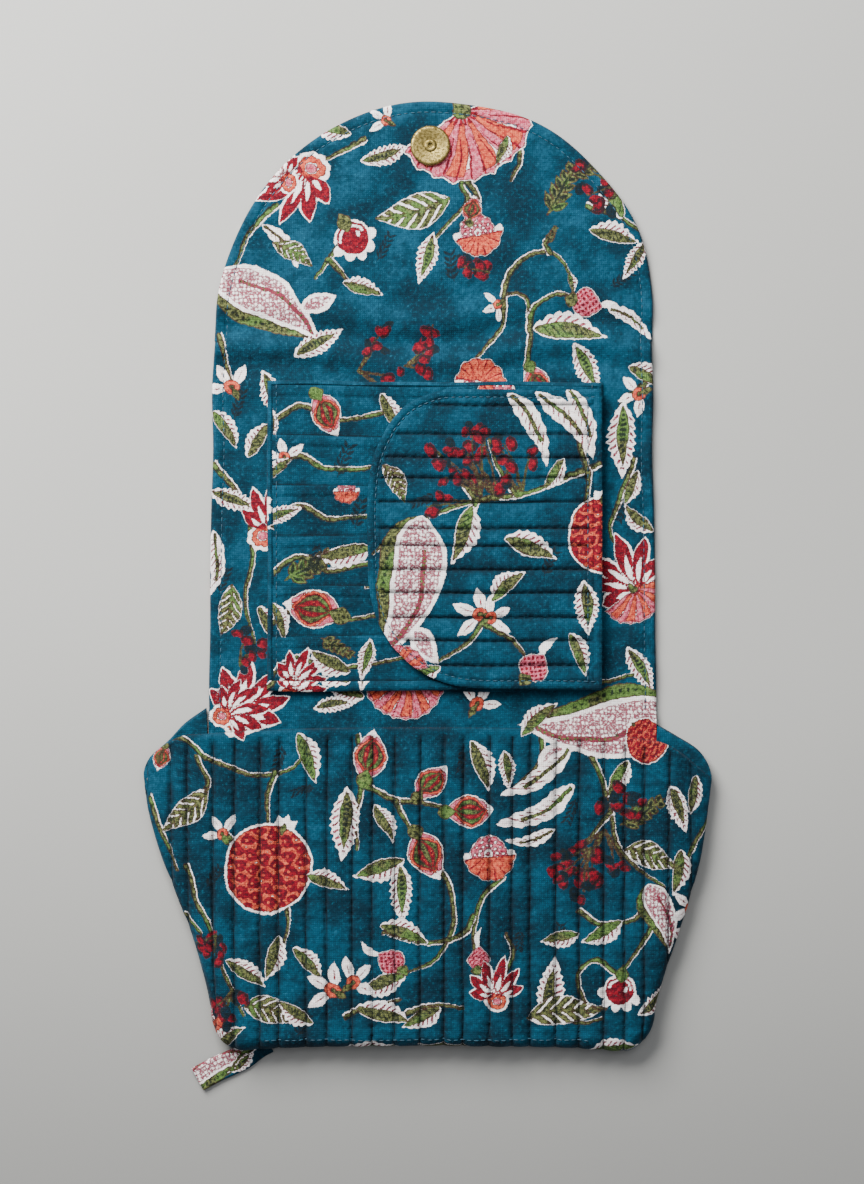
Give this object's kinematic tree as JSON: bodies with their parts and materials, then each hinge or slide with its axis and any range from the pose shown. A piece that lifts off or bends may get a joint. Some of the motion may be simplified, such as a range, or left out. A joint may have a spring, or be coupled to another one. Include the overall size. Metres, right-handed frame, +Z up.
{
  "type": "quilted wrap pouch",
  "caption": "Quilted cotton wrap pouch, opened flat: gusseted pouch, folding cover with card slots under a side flap, rounded snap flap and tab loop.",
  "frame": {"origin": "centre of the opened-out pouch's bounding box in X and Y, at the surface it lies on", "axes": "+Y along the panel from the pouch's base to the flap's round tip, +X across it to the right as seen from the lining side, +Z up out of the lining"},
  "size_m": [0.254, 0.4464, 0.0118],
  "materials": {
    "print_cotton": "block-printed cotton, quilted",
    "lining_cotton": "block-printed cotton, flat",
    "wadding": "cotton wadding",
    "brass": "antique brass plate",
    "steel": "plain",
    "magnet": "sintered"
  },
  "bodies": {
    "pouch": {"back_shell": "print_cotton", "back_wadding": "wadding", "back_lining": "lining_cotton", "left_gusset_shell": "print_cotton", "left_gusset_wadding": "wadding", "left_gusset_lining": "lining_cotton", "right_gusset_shell": "print_cotton", "right_gusset_wadding": "wadding", "right_gusset_lining": "lining_cotton", "base_gusset_shell": "print_cotton", "base_gusset_wadding": "wadding", "base_gusset_lining": "lining_cotton", "snap_stud": "brass", "snap_stud_washer": "steel"},
    "front": {"front_shell": "print_cotton", "front_wadding": "wadding", "front_lining": "lining_cotton"},
    "spine": {"spine_shell": "print_cotton", "spine_wadding": "wadding", "spine_lining": "lining_cotton"},
    "cover": {"cover_shell": "print_cotton", "cover_wadding": "wadding", "cover_lining": "lining_cotton", "insert_backing": "lining_cotton", "card_slot_1": "lining_cotton", "card_slot_2": "lining_cotton", "card_slot_3": "lining_cotton", "card_slot_4": "lining_cotton", "card_slot_5": "lining_cotton", "card_slot_6": "lining_cotton", "insert_hem": "lining_cotton"},
    "side_flap": {"side_flap_shell": "print_cotton", "side_flap_wadding": "wadding", "side_flap_lining": "lining_cotton"},
    "turn": {"turn_shell": "print_cotton", "turn_wadding": "wadding", "turn_lining": "lining_cotton"},
    "flap": {"flap_shell": "print_cotton", "flap_wadding": "wadding", "flap_lining": "lining_cotton", "snap_socket_cap": "brass", "snap_socket_magnet": "magnet", "snap_socket_rivet": "brass", "snap_socket_washer": "steel"},
    "tab": {"tab_loop": "print_cotton"}
  },
  "joints": [
    {"name": "mouth_open", "type": "hinge", "parent": "pouch", "child": "front", "pos_m": [0, -0.19657, 0.01195], "axis": [-1, 0, 0], "range_deg": [-15, 0]},
    {"name": "spine_fold", "type": "hinge", "parent": "pouch", "child": "spine", "pos_m": [0, -0.05692, 0.00355], "axis": [1, 0, 0], "range_deg": [0, 90]},
    {"name": "cover_fold", "type": "hinge", "parent": "spine", "child": "cover", "pos_m": [0, -0.04257, 0.00355], "axis": [1, 0, 0], "range_deg": [0, 90]},
    {"name": "side_flap_open", "type": "hinge", "parent": "cover", "child": "side_flap", "pos_m": [0.0765, 0.02713, 0.00664], "axis": [0, -1, 0], "range_deg": [-170, 0]},
    {"name": "turn_fold", "type": "hinge", "parent": "cover", "child": "turn", "pos_m": [0, 0.10543, 0.00355], "axis": [1, 0, 0], "range_deg": [0, 90]},
    {"name": "flap_fold", "type": "hinge", "parent": "turn", "child": "flap", "pos_m": [0, 0.12477, 0.00355], "axis": [1, 0, 0], "range_deg": [0, 90]},
    {"name": "tab_flip", "type": "hinge", "parent": "pouch", "child": "tab", "pos_m": [0, -0.20112, 0.0072], "axis": [-1, 0, 0], "range_deg": [0, 180]}
  ],
  "couplings": [
    {"joint": "cover_fold", "follows": "spine_fold", "ratio": 1},
    {"joint": "flap_fold", "follows": "turn_fold", "ratio": 1}
  ]
}
